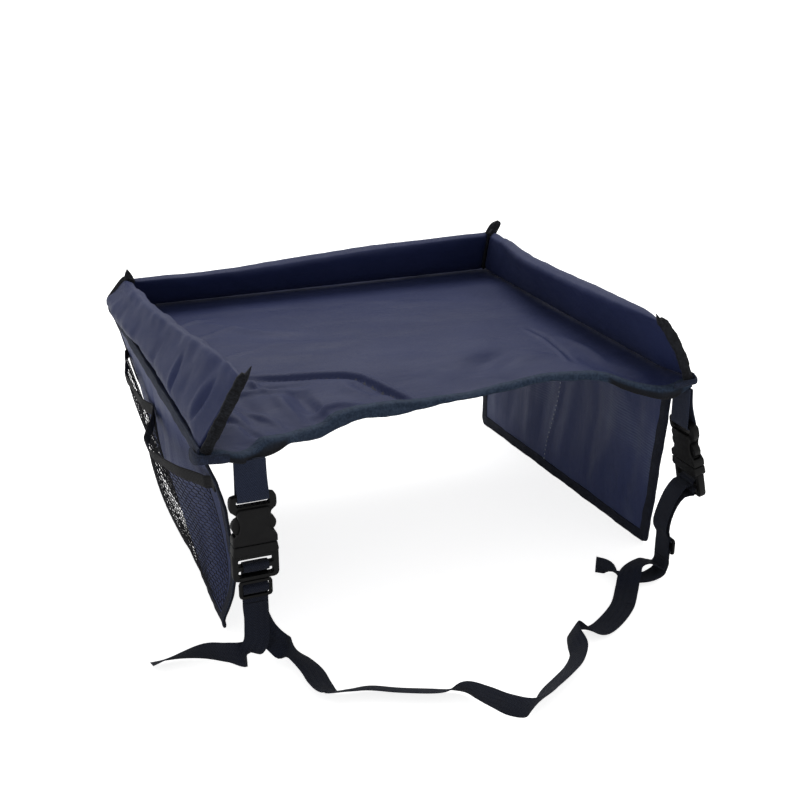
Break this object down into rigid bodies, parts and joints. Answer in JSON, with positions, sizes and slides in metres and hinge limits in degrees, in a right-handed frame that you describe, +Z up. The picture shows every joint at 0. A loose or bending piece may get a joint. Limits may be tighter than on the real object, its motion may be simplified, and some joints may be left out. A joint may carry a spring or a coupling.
{
  "type": "car seat tray table",
  "caption": "Cloth-covered car seat tray table with padded rim walls, hanging side flaps with net pockets, and a webbing belt with side-release buckles.",
  "frame": {"origin": "on the tray's underside, midway between the side seams, over the middle of the panel", "axes": "+Z up from the play surface, -Y towards the child and the concave edge, +X to the child's left hand side of the tray"},
  "size_m": [0.4648, 0.5077, 0.233],
  "materials": {
    "navy_cloth": "coated woven polyester",
    "board_plastic": "stiff sheet",
    "foam": "open cell foam strip",
    "blue_tape": "grosgrain binding",
    "black_tape": "overlocked binding",
    "pocket_net": "open knitted net",
    "black_elastic": "ribbed elastic",
    "navy_webbing": "flat woven webbing",
    "black_plastic": "moulded acetal"
  },
  "bodies": {
    "tray": {"base_board": "board_plastic", "top_cover": "navy_cloth", "bottom_cover": "navy_cloth", "front_edge_binding": "blue_tape", "left_base_binding": "blue_tape", "right_base_binding": "blue_tape", "back_base_binding": "blue_tape", "left_wall_cover": "navy_cloth", "right_wall_cover": "navy_cloth", "back_wall_cover": "navy_cloth", "left_wall_core": "foam", "right_wall_core": "foam", "back_wall_core": "foam", "left_wall_end_binding": "black_tape", "right_wall_end_binding": "black_tape", "back_left_corner_binding": "black_tape", "back_right_corner_binding": "black_tape"},
    "left_flap": {"left_flap_panel": "navy_cloth", "left_flap_binding": "black_tape", "left_pocket_net": "pocket_net", "left_pocket_elastic": "black_elastic"},
    "right_flap": {"right_flap_panel": "navy_cloth", "right_flap_binding": "black_tape", "right_pocket_net": "pocket_net", "right_pocket_elastic": "black_elastic"},
    "belt": {"left_webbing_tab": "navy_webbing", "right_webbing_tab": "navy_webbing", "left_buckle_socket": "black_plastic", "right_buckle_socket": "black_plastic", "belt_webbing": "navy_webbing", "left_belt_tail": "navy_webbing", "right_belt_tail": "navy_webbing"},
    "left_plug": {"left_buckle_plug": "black_plastic", "left_belt_loop": "navy_webbing"},
    "right_plug": {"right_buckle_plug": "black_plastic", "right_belt_loop": "navy_webbing"},
    "left_arm_inner": {"left_inner_release_arm": "black_plastic"},
    "left_arm_outer": {"left_outer_release_arm": "black_plastic"},
    "right_arm_rear": {"right_rear_release_arm": "black_plastic"},
    "right_arm_front": {"right_front_release_arm": "black_plastic"},
    "left_glide": {"left_strap_glide": "black_plastic"},
    "right_glide": {"right_strap_glide": "black_plastic"}
  },
  "joints": [
    {"name": "left_flap_swing", "type": "hinge", "parent": "tray", "child": "left_flap", "pos_m": [-0.1972, 0, -0.0007], "axis": [0, 1, 0], "range_deg": [-55, 80], "stiffness_Nm_per_rad": 0.6},
    {"name": "right_flap_swing", "type": "hinge", "parent": "tray", "child": "right_flap", "pos_m": [0.1972, 0, -0.0007], "axis": [0, 1, 0], "range_deg": [-80, 70], "stiffness_Nm_per_rad": 0.6},
    {"name": "belt_swing", "type": "hinge", "parent": "tray", "child": "belt", "pos_m": [0, -0.1905, -0.001], "axis": [1, 0, 0], "range_deg": [-90, 0]},
    {"name": "left_plug_release", "type": "slide", "parent": "belt", "child": "left_plug", "axis": [0, 0, -1], "range_m": [0, 0.02], "deforming": ["left_inner_release_arm", "left_outer_release_arm", "belt_webbing", "left_belt_tail"]},
    {"name": "right_plug_release", "type": "slide", "parent": "belt", "child": "right_plug", "axis": [0.2181, 0, -0.9759], "range_m": [0, 0.02], "deforming": ["right_rear_release_arm", "right_front_release_arm", "belt_webbing", "right_belt_tail"]},
    {"name": "left_inner_arm_press", "type": "hinge", "parent": "left_plug", "child": "left_arm_inner", "pos_m": [-0.1565, -0.188, -0.0685], "axis": [0, -1, 0], "range_deg": [0, 12], "stiffness_Nm_per_rad": 0.05},
    {"name": "left_outer_arm_press", "type": "hinge", "parent": "left_plug", "child": "left_arm_outer", "pos_m": [-0.1725, -0.188, -0.0685], "axis": [0, 1, 0], "range_deg": [0, 12], "stiffness_Nm_per_rad": 0.05},
    {"name": "right_rear_arm_press", "type": "hinge", "parent": "right_plug", "child": "right_arm_rear", "pos_m": [0.20829, -0.173, -0.06958], "axis": [0.9759, 0, 0.2181], "range_deg": [0, 12], "stiffness_Nm_per_rad": 0.05},
    {"name": "right_front_arm_press", "type": "hinge", "parent": "right_plug", "child": "right_arm_front", "pos_m": [0.20829, -0.189, -0.06958], "axis": [-0.9759, 0, -0.2181], "range_deg": [0, 12], "stiffness_Nm_per_rad": 0.05},
    {"name": "left_glide_slide", "type": "slide", "parent": "left_plug", "child": "left_glide", "axis": [0, 0, 1], "range_m": [-0.012, 0.002], "deforming": ["left_belt_loop", "belt_webbing", "left_belt_tail"]},
    {"name": "right_glide_slide", "type": "slide", "parent": "right_plug", "child": "right_glide", "axis": [0, 0, 1], "range_m": [-0.003, 0.02], "deforming": ["right_belt_loop", "belt_webbing", "right_belt_tail"]}
  ],
  "couplings": [
    {"joint": "left_outer_arm_press", "follows": "left_inner_arm_press", "ratio": 1},
    {"joint": "right_front_arm_press", "follows": "right_rear_arm_press", "ratio": 1}
  ]
}
